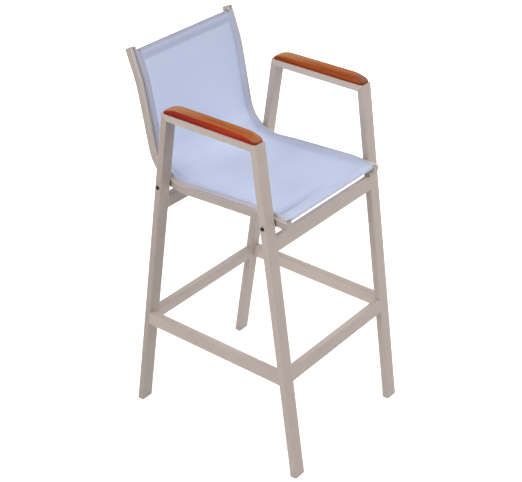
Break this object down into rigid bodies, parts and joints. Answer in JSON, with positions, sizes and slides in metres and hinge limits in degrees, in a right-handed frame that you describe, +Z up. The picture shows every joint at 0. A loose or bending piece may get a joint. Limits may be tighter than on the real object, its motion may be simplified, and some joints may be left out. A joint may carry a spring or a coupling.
{
  "type": "bar stool",
  "caption": "Tall stool with arms: splayed tube legs with a footrest, a fabric sling seat and back between bent rails, and wooden armrests.",
  "frame": {"origin": "on the floor, under the middle of the bounding box", "axes": "+Z up, front towards -Y, the sitter's right towards -X"},
  "size_m": [0.5068, 0.6092, 1.1068],
  "materials": {
    "frame_coat": "taupe powder coat, satin",
    "sling_fabric": "woven coated yarn, matt",
    "armrest_wood": "oiled, satin",
    "black_bolt": "black oxide",
    "zinc_steel": "zinc plated",
    "taupe_plastic": "moulded, matt",
    "keder_cord": "extruded cord"
  },
  "bodies": {
    "root": {"front_hem_rod": "zinc_steel", "front_left_armrest_screw": "zinc_steel", "front_left_glide": "taupe_plastic", "front_left_leg": "frame_coat", "front_left_nut_plate": "zinc_steel", "front_left_rail_bolt": "black_bolt", "front_left_rail_spacer": "taupe_plastic", "front_right_armrest_screw": "zinc_steel", "front_right_glide": "taupe_plastic", "front_right_leg": "frame_coat", "front_right_nut_plate": "zinc_steel", "front_right_rail_bolt": "black_bolt", "front_right_rail_spacer": "taupe_plastic", "front_seat_crossbar": "frame_coat", "front_stretcher": "frame_coat", "left_arm_rail": "frame_coat", "left_armrest": "armrest_wood", "left_keder_rod": "keder_cord", "left_rail_front_plug": "taupe_plastic", "left_rail_top_plug": "taupe_plastic", "left_sling_rail": "frame_coat", "left_stretcher": "frame_coat", "rear_left_armrest_screw": "zinc_steel", "rear_left_glide": "taupe_plastic", "rear_left_leg": "frame_coat", "rear_left_nut_plate": "zinc_steel", "rear_left_rail_bolt": "black_bolt", "rear_left_rail_spacer": "taupe_plastic", "rear_right_armrest_screw": "zinc_steel", "rear_right_glide": "taupe_plastic", "rear_right_leg": "frame_coat", "rear_right_nut_plate": "zinc_steel", "rear_right_rail_bolt": "black_bolt", "rear_right_rail_spacer": "taupe_plastic", "rear_seat_crossbar": "frame_coat", "rear_stretcher": "frame_coat", "right_arm_rail": "frame_coat", "right_armrest": "armrest_wood", "right_keder_rod": "keder_cord", "right_rail_front_plug": "taupe_plastic", "right_rail_top_plug": "taupe_plastic", "right_sling_rail": "frame_coat", "right_stretcher": "frame_coat", "sling": "sling_fabric"}
  },
  "joints": []
}
